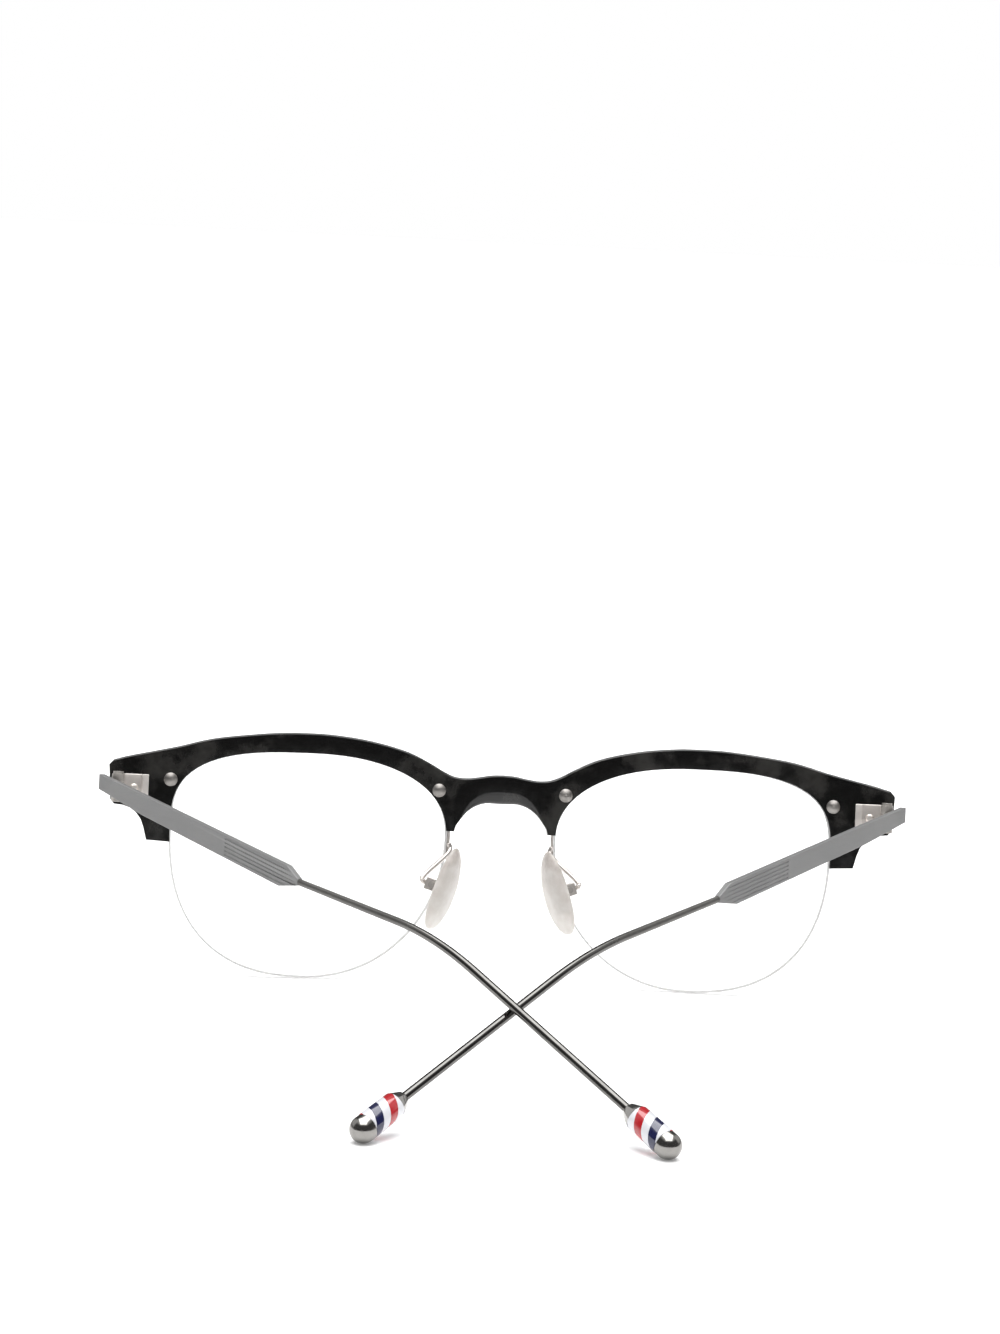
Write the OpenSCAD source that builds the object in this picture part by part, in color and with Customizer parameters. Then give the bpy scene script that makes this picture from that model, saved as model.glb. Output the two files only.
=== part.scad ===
// Browline eyeglasses. An acetate brow holds the top of two lenses, a nylon cord runs
// under them, and two metal temples fold on pin hinges. Lengths are in millimetres.
// The front is drawn in its own frame (x across, y forwards, z up along the lean).
// Left and right are the wearer's. The glasses stand on their lenses and temple tips.

/* [Lenses] */
// Width of the lens opening at its widest level
lens_w = 50.8; // [46:0.1:56]
// Height of the lens opening above its widest level
lens_up = 14.3; // [12:0.1:18]
// Height of the lens below its widest level
lens_down = 27; // [23:0.1:31]
// Distance between the two lens openings over the nose
bridge_w = 20.2; // [17:0.1:24]
// Lens thickness
lens_t = 1.8; // [1.4:0.1:2.4]
// Radius of the lens's mid surface
lens_radius = 200; // [150:5:300]
// How far the lens sits forward of where its groove would open the brow's back
lens_forward = 0.3; // [0.2:0.05:0.6]
// How far the top of the lens goes up into the brow's groove
lens_seat = 0.7; // [0.5:0.05:0.9]
// How far the lens goes into the groove at its widest level
lens_side_seat = 0.2; // [0.1:0.05:0.4]
// Thickness of the nylon cord under the lens
cord_t = 0.25; // [0.2:0.01:0.4]
// Width of the nylon cord
cord_w = 0.5; // [0.4:0.05:0.7]

/* [Brow] */
// Height of brow material above the lens opening at the crest
brow_rise = 3.7; // [2.5:0.1:5]
// Width of the end piece outboard of the lens opening
end_w = 11.3; // [10.5:0.1:13]
// Thickness of the acetate from back to front
brow_t = 4; // [3.6:0.1:5]
// Radius that the front is bent to, seen from above
bend_radius = 500; // [400:10:900]
// Lean of the front, with its top forwards, in degrees
front_lean = 9; // [6:0.5:11]
// Thickness of the metal rim bar round the top of the lens
rim_t = 0.5; // [0.4:0.05:0.6]
// Width of the rim bar from back to front
rim_w = 1; // [0.8:0.05:1.2]
// Diameter of a rivet head
rivet_d = 2.5; // [2:0.1:2.8]
// Height of a rivet head
rivet_h = 0.55; // [0.4:0.05:0.8]
// Diameter of a rivet's shank
shank_d = 0.8; // [0.6:0.05:0.9]
// Length of a rivet's shank in the acetate
shank_len = 0.3; // [0.2:0.05:0.4]

/* [Hinges] */
// Distance of the hinge axis in from the brow's end face
hinge_inset = 1.95; // [1.6:0.05:2.3]
// Height of the hinge's middle above the lens's widest level
hinge_up = 6.7; // [6.3:0.1:7.4]
// Radius of the hinge knuckles
knuckle_r = 1.15; // [1:0.05:1.25]
// Height of each outer knuckle
outer_knuckle_h = 1.7; // [1.3:0.05:1.8]
// Height of the middle knuckle
mid_knuckle_h = 1.5; // [1.2:0.05:1.7]
// Gap between two knuckles
knuckle_gap = 0.1; // [0.06:0.02:0.16]
// Radius of the hinge screw's shaft
pin_r = 0.55; // [0.45:0.05:0.65]
// Radial clearance of the screw in the knuckles
pin_play = 0.05; // [0.03:0.01:0.08]
// Radius of the hinge screw's head
screw_head_r = 0.95; // [0.8:0.05:1.1]
// Height of the hinge screw's head
screw_head_h = 0.4; // [0.3:0.05:0.6]
// Width of the hinge plate on the brow
plate_w = 5.9; // [5.2:0.1:7]
// Thickness of the hinge plate
plate_t = 0.8; // [0.6:0.05:1]
// Width of the raised bar at the plate's inner end
plate_bar_w = 1.2; // [0.8:0.05:1.5]
// Height of the raised bar and of the rivet over the plate
plate_bar_h = 0.45; // [0.3:0.05:0.6]
// Radius of the rivet that holds the plate
plate_rivet_r = 0.8; // [0.6:0.05:1]
// Length of the hinge leaf on the temple
leaf_len = 9; // [7:0.5:12]
// Thickness of the hinge leaf on the temple
leaf_t = 0.6; // [0.5:0.05:0.7]
// Height of the hinge leaf on the temple
leaf_h = 2.2; // [1.8:0.1:2.2]

/* [Temples] */
// Distance from the hinge axis to the centre of the tip's dome
temple_len = 137.7; // [125:0.1:150]
// Distance of the temple's middle outboard of the hinge axis
temple_offset = 2; // [2:0.05:2.3]
// How far the temple's butt end reaches past the hinge axis
butt_reach = 2.3; // [2:0.1:2.5]
// Gap between the butt end and the brow's end when the temple is open
butt_gap = 0.2; // [0.15:0.05:0.4]
// Fold of the left temple at rest, in degrees from open
fold_left = 42.8; // [40:0.1:44]
// Fold of the right temple at rest, in degrees from open
fold_right = 44.5; // [43.5:0.1:47]
// Thickness of the flat blade
blade_t = 1.4; // [1.2:0.05:1.4]
// Height of the blade where it leaves the hinge
blade_root_h = 3.6; // [3.4:0.1:4.4]
// Height of the blade at its pointed end
blade_end_h = 4.15; // [3.9:0.05:4.8]
// Distance from the hinge axis to where the blade has its full height
blade_root_s = 10; // [8:0.5:12]
// How far the blade's lower edge rises from there to its butt end
butt_rise = 0.65; // [0.4:0.05:1]
// Distance from the hinge axis to the end of the blade's full height
blade_len = 48; // [42:0.5:54]
// Length of the blade's pointed end
point_len = 4; // [3:0.1:5]
// Fall of the blade for each millimetre of its length
blade_slope = 0.273; // [0.24:0.001:0.3]
// Fall of the left wire for each millimetre before the ear bend
wire_slope_left = 0.206; // [0.19:0.001:0.213]
// Fall of the right wire for each millimetre before the ear bend
wire_slope_right = 0.248; // [0.241:0.001:0.27]
// Distance from the hinge axis to the middle of the ear bend
bend_s = 85.3; // [80:0.1:90]
// Half of the length of the ear bend
bend_half = 9.2; // [6:0.2:12]
// Diameter of the wire where it leaves the blade
wire_d_root = 1.15; // [0.9:0.05:1.25]
// Diameter of the wire from the ear bend on
wire_d = 1.5; // [1.4:0.05:1.6]
// Number of fine grooves at the blade's end
groove_count = 5; // [3:1:6]
// Distance between two grooves
groove_pitch = 0.7; // [0.5:0.02:0.8]
// Depth of a groove
groove_depth = 0.14; // [0.08:0.02:0.24]
// Length of the grooves along the blade
groove_len = 15; // [8:0.5:24]

/* [Tips] */
// Radius of the tip's sleeve and dome
tip_r = 2.2; // [2:0.05:2.5]
// Length of the enamelled sleeve
sleeve_len = 6.6; // [5:0.1:9]
// Length of the faceted collar
collar_len = 2.2; // [1.6:0.1:3]
// Radius of the collar where the wire goes in
collar_small_r = 1.25; // [1.1:0.05:1.6]
// Number of facets on the collar
collar_facets = 8; // [6:1:10]
// Length of the dome's straight skirt
dome_skirt = 0.8; // [0.5:0.1:1.4]

/* [Nose pads] */
// Height of a nose pad
pad_h = 15.6; // [13:0.1:16]
// Width of a nose pad from back to front
pad_w = 7.8; // [6.5:0.1:8.4]
// Thickness of a nose pad
pad_t = 2.6; // [2:0.1:3]
// Radius of the pad's crowned face
pad_crown = 34; // [20:1:60]
// Distance of a pad's middle from the nose's middle plane
pad_u = 10.1; // [9.6:0.1:11.5]
// Distance of a pad's middle behind the brow's mid surface
pad_back = 9.6; // [9:0.1:10.4]
// Height of a pad's middle above the bottom of the lens
pad_v = 17.6; // [16.5:0.1:19]
// Frontal angle of a pad, in degrees
pad_frontal = 17; // [14:0.5:21]
// Splay angle of a pad, in degrees
pad_splay = 24; // [16:1:28]
// Diameter of the pad arm's wire
arm_d = 0.9; // [0.8:0.05:1]

/* [Hidden] */
$fn = 48;

// Colours
acetate = [0.05, 0.05, 0.05];
clear = [0.86, 0.93, 0.95, 0.35];
nylon = [0.9, 0.9, 0.9, 0.6];
silver = [0.76, 0.73, 0.69];
gunmetal = [0.36, 0.36, 0.36];
satin_grey = [0.56, 0.56, 0.56];
enamel = [0.92, 0.92, 0.93];
silicone = [0.85, 0.81, 0.77, 0.8];

// Small play between pieces that sit in one another, and the overrun of every cut
seat_gap = 0.02;
groove_play = 0.05;
overrun = 1;
bend_fn = 720;
lens_fn = 360;

// Exponents of the lens outline's four quarters
round_nasal_up = 2.25;
round_temporal_up = 2.9;
round_temporal_down = 2.4;
round_nasal_down = 2.05;
outline_steps = 20;

// Sizes of the front that follow from the driving ones
lens_c = bridge_w / 2 + lens_w / 2;
lens_mid = (lens_down + lens_up) / 2;
brow_half_w = bridge_w / 2 + lens_w + end_w;
crest_v = lens_down + lens_up + brow_rise;
// Distance of the lens's mid surface forward of the brow's, at the lens's middle
lens_place = lens_forward + max([for (p = edge_outline(groove_play)) if (p.y > lens_down)
    sag(norm([p.x, p.y - lens_mid]), lens_radius) + lens_t / 2 + groove_play - brow_back(p.x)]);

// The brow's upper edge from the middle to the end, as shares of half width and crest
brow_top_shares = [[0, 0.860], [0.031, 0.857], [0.062, 0.848], [0.093, 0.842],
    [0.124, 0.847], [0.154, 0.867], [0.184, 0.894], [0.247, 0.941], [0.34, 0.978],
    [0.43, 0.996], [0.5, 1], [0.585, 0.995], [0.705, 0.972], [0.766, 0.953],
    [0.825, 0.926], [0.886, 0.903], [0.946, 0.881], [0.988, 0.862]];
// The end face and the lower lug, from the top corner round to the lens
brow_end_shares = [[0.997, 0.853], [1, 0.84], [0.999, 0.82], [0.994, 0.7], [0.991, 0.687],
    [0.984, 0.681], [0.962, 0.678], [0.944, 0.668], [0.928, 0.649], [0.916, 0.624],
    [0.908, 0.59], [0.9, 0.54], [0.896, 0.535], [0.8, 0.535]];
// The nasal end and the underside of the bridge, from the lens to the middle
brow_under_shares = [[0.19, 0.622], [0.1195, 0.622], [0.117, 0.627], [0.116, 0.645],
    [0.107, 0.667], [0.0965, 0.69], [0.084, 0.71], [0.066, 0.729], [0.042, 0.741],
    [0.02, 0.741], [0, 0.74]];
spline_steps = 4;
brow_top = spline(scaled(brow_top_shares), spline_steps);
brow_half = concat(brow_top, scaled(brow_end_shares), scaled(brow_under_shares));

// Where the rim bar gives way to the nylon cord, as shares of the lens's lower height
rim_nasal_share = 0.84;
rim_temporal_share = 0.925;

// Rivets, as shares of the lens width from its middle and of its upper height
rivet_shares = [[-0.467, 0.59], [0.506, 0.594]];

// Hinge position in the front's frame
hinge_u = brow_half_w - hinge_inset;
hinge_w = -(brow_back(brow_half_w) + butt_gap + butt_reach);
hinge_v = lens_down + hinge_up;
hinge_h = 2 * outer_knuckle_h + mid_knuckle_h + 2 * knuckle_gap;
plate_past_axis = 0.8;
plate_rivet_u = 1.5 * plate_bar_w + plate_rivet_r;
plate_u = hinge_u + knuckle_r * plate_past_axis - plate_w / 2;
plate_axis = to_bend(plate_u, [hinge_u, hinge_w]);
web_w = knuckle_r * 1.4;
screw_slot_w = screw_head_r * 0.25;

// Height that the lenses' bottom edges would stand at without this drop
lens_bottom_w = lens_place - bend_sag(lens_c) + lens_t / 2
    - sag(lens_mid, lens_radius + lens_t / 2);
stand_drop = -lens_bottom_w * sin(front_lean);

// Temple: distance along the blade where its slope gives way to the wire's
slope_change = blade_len + point_len / 2;
point_end = blade_len + point_len;
wire_sides = 16;
groove_w = groove_pitch * 0.5;
point_h = wire_d_root;

// Nose pad: its stud's lug turns on a screw between the box's two cheeks
stud_plate_t = 0.5;
stud_plate_h = pad_h * 0.5;
stud_plate_w = pad_w * 0.45;
lug_t = 1.1;
lug_r = 0.8;
box_gap = 0.12;
cheek_t = 0.4;
box_clear = 0.3;
pad_screw_r = 0.35;
pad_screw_head_r = 0.6;
pad_screw_head_h = 0.3;
box_x0 = pad_t / 2 + box_clear;
box_axis_x = box_x0 + lug_r;
box_back_t = 0.45;
box_x1 = box_axis_x + lug_r + box_gap + box_back_t;
box_over = 0.3;
box_h = 2 * (lug_r + box_over);
pad_centre = [pad_u, -pad_back, pad_v];
pad_out = [cos(pad_splay) * cos(pad_frontal), sin(pad_splay),
    cos(pad_splay) * sin(pad_frontal)];
arm_root_share = 0.955;
arm_root_step = 1.8;
arm_lead = 0.9;
arm_straight = 0.4;
arm_sides = 12;
arm_steps = 7;

// Outline of the nose pad: exponents of its upper and lower halves
pad_round_up = 2.1;
pad_round_down = 2.4;
pad_widest_share = 0.42;

// The rest pose is centred over the origin from back to front
tip_y_left = tip_w(fold_left) * cos(front_lean) + tip_v(fold_left) * sin(front_lean);
tip_y_right = tip_w(fold_right) * cos(front_lean) + tip_v(fold_right) * sin(front_lean);
back_y = min(tip_y_left, tip_y_right) - tip_r;
front_y = max([for (p = brow_top) (brow_t / 2 - bend_sag(p.x)) * cos(front_lean)
    + p.y * sin(front_lean)]);
rest_shift = -(back_y + front_y) / 2;

function sag(x, radius) = radius - sqrt(radius * radius - x * x);
function bend_sag(u) = sag(u, bend_radius);
// How far the brow's back face lies behind the front's origin at u
function brow_back(u) = brow_t / 2 + sag(u, bend_radius - brow_t / 2);

// A point of the front's frame, seen from the bend's tangent frame at u
function to_bend(u, p) = let (a = asin(u / bend_radius), x = p.x, y = p.y + bend_radius)
    [x * cos(a) - y * sin(a), x * sin(a) + y * cos(a) - bend_radius];

// Height and depth of a tip's dome centre in the front's frame when it rests on z = 0
function tip_w(fold) = hinge_w - temple_len * cos(fold) - temple_offset * sin(fold);
function tip_v(fold) = (tip_r + stand_drop + tip_w(fold) * sin(front_lean)) / cos(front_lean);

// Slope of the temple behind the ear bend, which lets its tip touch the ground
function wire_slope(side) = side > 0 ? wire_slope_right : wire_slope_left;
function side_rear(side) = (hinge_v - tip_v(side > 0 ? fold_right : fold_left)
    - blade_slope * slope_change - wire_slope(side) * (bend_s - slope_change))
    / (temple_len - bend_s);
function bend_part(s) = min(max((s - bend_s + bend_half) / (2 * bend_half), 0), 1);
function temple_drop(s, side) = let (past = s - bend_s, lead = wire_slope(side))
    blade_slope * min(s, slope_change) + lead * max(s - slope_change, 0)
    + (side_rear(side) - lead) * (past > bend_half ? past : bend_half * pow(bend_part(s), 2));

// Smooth curve through points
function curve_at(a, b, c, d, t) = (2 * b + (c - a) * t + (2 * a - 5 * b + 4 * c - d) * t * t
    + (3 * b - a - 3 * c + d) * t * t * t) / 2;
function spline(p, steps) = concat([for (i = [0:len(p) - 2]) for (j = [0:steps - 1])
    curve_at(p[max(i - 1, 0)], p[i], p[i + 1], p[min(i + 2, len(p) - 1)], j / steps)],
    [p[len(p) - 1]]);
function mirrored(p) = [for (i = [len(p) - 2:-1:1]) [-p[i].x, p[i].y]];
function scaled(shares) = [for (p = shares) [p.x * brow_half_w, p.y * crest_v]];

// Superellipse with one exponent for each quarter
function power_x(t, n) = sign(cos(t)) * pow(abs(cos(t)), 2 / n);
function power_y(t, n) = sign(sin(t)) * pow(abs(sin(t)), 2 / n);
function lens_round(t) = t < 90 ? round_temporal_up : t < 180 ? round_nasal_up
    : t < 270 ? round_nasal_down : round_temporal_down;
function lens_outline(side, up, down) = [for (i = [0:4 * outline_steps - 1])
    let (t = i * 90 / outline_steps, n = lens_round(t))
    [(lens_w / 2 + side) * power_x(t, n),
     lens_down + (t < 180 ? lens_up + up : lens_down + down) * power_y(t, n)]];
function edge_outline(grow) = lens_outline(lens_side_seat + grow, lens_seat + grow, grow);
function pad_outline() = [for (i = [0:4 * outline_steps - 1])
    let (t = i * 90 / outline_steps, n = t < 180 ? pad_round_up : pad_round_down,
        low = pad_h * pad_widest_share, high = pad_h - low)
    [pad_w / 2 * power_x(t, n), low - pad_h / 2 + (t < 180 ? high : low) * power_y(t, n)]];

// Tube through the points of a path, with one radius for each point
function unit(v) = v / norm(v);
function path_dir(p, i) = unit(p[min(i + 1, len(p) - 1)] - p[max(i - 1, 0)]);
function ring(centre, dir, radius, across, sides) = let (up = unit(cross(dir, across)),
    right = cross(up, dir)) [for (i = [0:sides - 1])
    centre + radius * (cos(360 * i / sides) * right + sin(360 * i / sides) * up)];
module tube(path, radii, across, sides) {
    rings = [for (i = [0:len(path) - 1]) ring(path[i], path_dir(path, i), radii[i], across, sides)];
    last = (len(path) - 1) * sides;
    polyhedron(points = [for (r = rings) for (p = r) p], faces = concat(
        [[for (i = [0:sides - 1]) i]],
        [for (k = [0:len(path) - 2]) for (i = [0:sides - 1]) let (j = (i + 1) % sides)
            [k * sides + i, (k + 1) * sides + i, (k + 1) * sides + j]],
        [for (k = [0:len(path) - 2]) for (i = [0:sides - 1]) let (j = (i + 1) % sides)
            [k * sides + i, (k + 1) * sides + j, k * sides + j]],
        [[for (i = [sides - 1:-1:0]) last + i]]));
}

// Frames
module in_front() translate([0, rest_shift, -stand_drop]) rotate([-front_lean, 0, 0]) children();
module on_side(side) {
    if (side > 0) in_front() children();
    else in_front() mirror([1, 0, 0]) children();
}
module on_bend(u) translate([0, -bend_radius, 0]) rotate([0, 0, -asin(u / bend_radius)])
    translate([0, bend_radius, 0]) children();
module at_hinge() translate([hinge_u, hinge_w, hinge_v]) children();
module at_temple(side) on_side(side) at_hinge()
    rotate([0, 0, side > 0 ? -fold_right : -fold_left]) children();
module at_tip(side) at_temple(side) translate([temple_offset, -temple_len,
    -temple_drop(temple_len, side)]) rotate([90 + atan(side_rear(side)), 0, 0]) children();
module at_pad(side) on_side(side) translate(pad_centre) rotate([0, -pad_frontal, 0])
    rotate([0, 0, pad_splay]) children();

// A flat drawing in the x-z plane, extruded forwards and backwards
module upright(depth) rotate([90, 0, 0]) linear_extrude(depth, center = true) children();
// A drawing of the temple's side (along, up), extruded outboard from x
module side_plate(x, t) translate([x, 0, 0]) rotate([90, 0, 90]) linear_extrude(t) children();

// Part of the spherical sheet that the lens is cut from
module lens_sheet(t) translate([0, lens_place - lens_radius, lens_mid]) difference() {
    sphere(r = lens_radius + t / 2, $fn = lens_fn);
    sphere(r = lens_radius - t / 2, $fn = lens_fn);
}
// The region above or below the line where the rim bar gives way to the cord
module lens_region(above) {
    reach = lens_w;
    far = above ? 2 * (lens_up + lens_down) : -lens_down;
    polygon([[-reach / 2 - overrun, lens_down * rim_nasal_share],
        [reach / 2 + overrun, lens_down * rim_temporal_share],
        [reach / 2 + overrun, far], [-reach / 2 - overrun, far]]);
}
module edge_ring(inner, outer) difference() {
    polygon(edge_outline(outer));
    polygon(edge_outline(inner));
}
module rim_ring(play) intersection() {
    edge_ring(-play, groove_play + rim_t + play);
    lens_region(true);
}
module cord_ring(inner, outer) intersection() {
    edge_ring(inner, outer);
    lens_region(false);
}
sheet_depth = 4 * brow_t;

// Acetate brow with the bridge and both end pieces in one
module brow_front() {
    color(acetate) in_front() difference() {
        intersection() {
            translate([0, -bend_radius, 0]) difference() {
                cylinder(r = bend_radius + brow_t / 2, h = 2 * crest_v, $fn = bend_fn);
                translate([0, 0, -overrun])
                    cylinder(r = bend_radius - brow_t / 2, h = 2 * (crest_v + overrun), $fn = bend_fn);
            }
            upright(sheet_depth * 2) polygon(concat(brow_half, mirrored(brow_half)));
        }
        for (side = [0, 1]) mirror([side, 0, 0]) {
            on_bend(lens_c) lens_room();
            rivet_places() rivet_shank(shank_d / 2 + seat_gap, shank_len + seat_gap);
        }
    }
}
// All that the brow leaves free for one lens, its rim bar and the view through it
module lens_room() {
    upright(sheet_depth) polygon(lens_outline(0, 0, 0));
    intersection() {
        lens_sheet(lens_t + 2 * groove_play);
        upright(sheet_depth) polygon(edge_outline(groove_play));
    }
    intersection() {
        lens_sheet(rim_w + 2 * groove_play);
        upright(sheet_depth) polygon(edge_outline(2 * groove_play + rim_t));
    }
}

module rivet_places() for (p = rivet_shares)
    on_bend(lens_c + p.x * lens_w) translate([0, 0, lens_down + p.y * lens_up]) children();
module rivet_shank(r, len) translate([0, len - brow_t / 2, 0]) rotate([90, 0, 0])
    cylinder(r = r, h = len + seat_gap);
// Four rivets with domed heads that hold the rim bars
module brow_rivets() {
    dome_r = (rivet_d * rivet_d / 4 + rivet_h * rivet_h) / (2 * rivet_h);
    color(silver) for (side = [-1, 1]) on_side(side) rivet_places() {
        translate([0, -brow_t / 2 - seat_gap, 0]) rotate([90, 0, 0]) intersection() {
            cylinder(r = rivet_d / 2, h = rivet_h);
            translate([0, 0, rivet_h - dome_r]) sphere(r = dome_r);
        }
        rivet_shank(shank_d / 2, shank_len);
    }
}

// One lens with the groove for its cord
module lens(side) {
    color(clear) on_side(side) on_bend(lens_c) difference() {
        intersection() {
            lens_sheet(lens_t);
            upright(sheet_depth) polygon(edge_outline(0));
        }
        intersection() {
            lens_sheet(cord_w + 2 * seat_gap);
            upright(sheet_depth) cord_ring(-cord_t - seat_gap, overrun);
        }
    }
}

// Nylon cord that holds the lower edge of a lens
module lens_cord(side) {
    color(nylon) on_side(side) on_bend(lens_c) intersection() {
        lens_sheet(cord_w);
        upright(sheet_depth) cord_ring(-cord_t, 0);
    }
}

// Metal bar that lines the brow's groove and carries the pad arm
module rim_bar(side) {
    color(silver) on_side(side) on_bend(lens_c) intersection() {
        lens_sheet(rim_w);
        upright(sheet_depth) intersection() {
            edge_ring(groove_play, groove_play + rim_t);
            lens_region(true);
        }
    }
}

// Bent wire from the rim bar's nasal end to the pad's box
rim_end_x = -lens_w / 2 - lens_side_seat - groove_play - rim_t / 2;
rim_end_y = lens_place - sag(rim_end_x, lens_radius) - rim_w / 2;
function from_bend(u, p) = let (a = asin(u / bend_radius), y = p.y + bend_radius)
    [p.x * cos(a) + y * sin(a), y * cos(a) - p.x * sin(a) - bend_radius];
rim_end = from_bend(lens_c, [rim_end_x, rim_end_y]);
arm_root = [rim_end.x, rim_end.y - arm_d / 2 - seat_gap, lens_down * arm_root_share];
arm_end = pad_centre + pad_out * (box_x1 + seat_gap);
arm_points = [arm_root, arm_root + [0, -arm_root_step * 0.4, -arm_root_step],
    arm_end + pad_out * arm_lead + [0, 0, arm_lead], arm_end + pad_out * arm_straight];
module pad_arm(side) {
    path = concat(spline(arm_points, arm_steps), [arm_end]);
    color(silver) on_side(side)
        tube(path, [for (p = path) arm_d / 2], [0, 0, 1], arm_sides);
}

// Box with two cheeks that the pad's lug turns between
module pad_box(side) {
    inner = lug_t + 2 * box_gap;
    outer = inner + 2 * cheek_t;
    color(silver) at_pad(side) difference() {
        translate([box_x0, -outer / 2, -box_h / 2]) cube([box_x1 - box_x0, outer, box_h]);
        translate([box_x0 - overrun, -inner / 2, -box_h / 2 - overrun])
            cube([box_x1 - box_back_t - box_x0 + overrun, inner, box_h + 2 * overrun]);
        translate([box_axis_x, 0, 0]) rotate([90, 0, 0])
            cylinder(r = pad_screw_r + seat_gap, h = 2 * outer, center = true);
    }
}

// Screw that the pad rocks on
module pad_screw(side) {
    outer = lug_t + 2 * box_gap + 2 * cheek_t;
    color(silver) at_pad(side) translate([box_axis_x, outer / 2, 0]) rotate([90, 0, 0]) {
        cylinder(r = pad_screw_r, h = outer + pad_screw_head_h + seat_gap);
        translate([0, 0, outer + seat_gap]) cylinder(r = pad_screw_head_r, h = pad_screw_head_h);
    }
}

// Plate inside the pad, with the lug that the screw goes through
module pad_stud(side) {
    color(silver) at_pad(side) difference() {
        union() {
            stud_plate(0);
            translate([pad_t / 2 - stud_plate_t / 2, -lug_t / 2, -lug_r])
                cube([box_axis_x - pad_t / 2 + stud_plate_t / 2, lug_t, 2 * lug_r]);
            translate([box_axis_x, 0, 0]) rotate([90, 0, 0])
                cylinder(r = lug_r, h = lug_t, center = true);
        }
        translate([box_axis_x, 0, 0]) rotate([90, 0, 0])
            cylinder(r = pad_screw_r + pin_play, h = 2 * lug_t, center = true);
    }
}
module stud_plate(play) translate([pad_t / 2 - stud_plate_t - play,
    -stud_plate_w / 2 - play, -stud_plate_h / 2 - play])
    cube([stud_plate_t + play, stud_plate_w + 2 * play, stud_plate_h + 2 * play]);

// Soft pad with a crowned face towards the nose
module nose_pad(side) {
    color(silicone) at_pad(side) difference() {
        intersection() {
            side_plate(-pad_t / 2, pad_t) polygon(pad_outline());
            translate([pad_crown - pad_t / 2, 0, 0]) sphere(r = pad_crown, $fn = 96);
        }
        stud_plate(seat_gap);
        translate([pad_t / 2, 0, 0])
            cube([2 * seat_gap, stud_plate_w + 2 * seat_gap, stud_plate_h + 2 * seat_gap], center = true);
    }
}

// Fixed half of a hinge: a plate on the brow with two outer knuckles
module knuckle_levels() for (end = [-1, 1])
    translate([0, 0, end * (hinge_h - outer_knuckle_h) / 2]) children();
module plate_front(u) translate([u - plate_w / 2, -brow_t / 2 - seat_gap - plate_t, 0]) children();
module hinge_plate(side) {
    color(silver) on_side(side) difference() {
        union() {
            on_bend(plate_u) translate([0, 0, hinge_v]) {
                translate([-plate_w / 2, -brow_t / 2 - seat_gap - plate_t, -hinge_h / 2])
                    cube([plate_w, plate_t, hinge_h]);
                plate_front(plate_bar_w / 2) cube([plate_bar_w, 2 * plate_bar_h, hinge_h], center = true);
                plate_front(plate_rivet_u) rotate([90, 0, 0])
                    cylinder(r1 = plate_rivet_r, r2 = plate_rivet_r * 0.7, h = plate_bar_h);
                knuckle_levels() translate([plate_axis.x - web_w / 2, plate_axis.y, -outer_knuckle_h / 2])
                    cube([web_w, -brow_t / 2 - seat_gap - plate_t / 2 - plate_axis.y, outer_knuckle_h]);
            }
            at_hinge() knuckle_levels()
                cylinder(r = knuckle_r, h = outer_knuckle_h, center = true);
        }
        at_hinge() cylinder(r = pin_r + pin_play, h = 2 * hinge_h, center = true);
    }
}

// Hinge screw with a slotted head
module hinge_screw(side) {
    color(silver) on_side(side) at_hinge() difference() {
        union() {
            translate([0, 0, -hinge_h / 2]) cylinder(r = pin_r, h = hinge_h + seat_gap + screw_head_h);
            translate([0, 0, hinge_h / 2 + seat_gap]) cylinder(r = screw_head_r, h = screw_head_h);
        }
        translate([0, 0, hinge_h / 2 + seat_gap + screw_head_h]) rotate([0, 0, 30])
            cube([2 * screw_head_r + overrun, screw_slot_w, screw_head_h], center = true);
    }
}

// Moving half of a hinge: the middle knuckle and the leaf on the temple
module hinge_leaf(side) {
    face = temple_offset - blade_t / 2;
    start = knuckle_r + 2 * seat_gap;
    color(silver) at_temple(side) difference() {
        union() {
            cylinder(r = knuckle_r, h = mid_knuckle_h, center = true);
            translate([face - seat_gap - leaf_t, -start - leaf_t, -mid_knuckle_h / 2])
                cube([leaf_t, start + leaf_t, mid_knuckle_h]);
            side_plate(face - seat_gap - leaf_t, leaf_t) polygon([
                [-start, -blade_slope * start + leaf_h / 2],
                [-start, -blade_slope * start - leaf_h / 2],
                [-leaf_len, -blade_slope * leaf_len - leaf_h / 2],
                [-leaf_len, -blade_slope * leaf_len + leaf_h / 2]]);
        }
        cylinder(r = pin_r + pin_play, h = 2 * hinge_h, center = true);
    }
}

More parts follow.
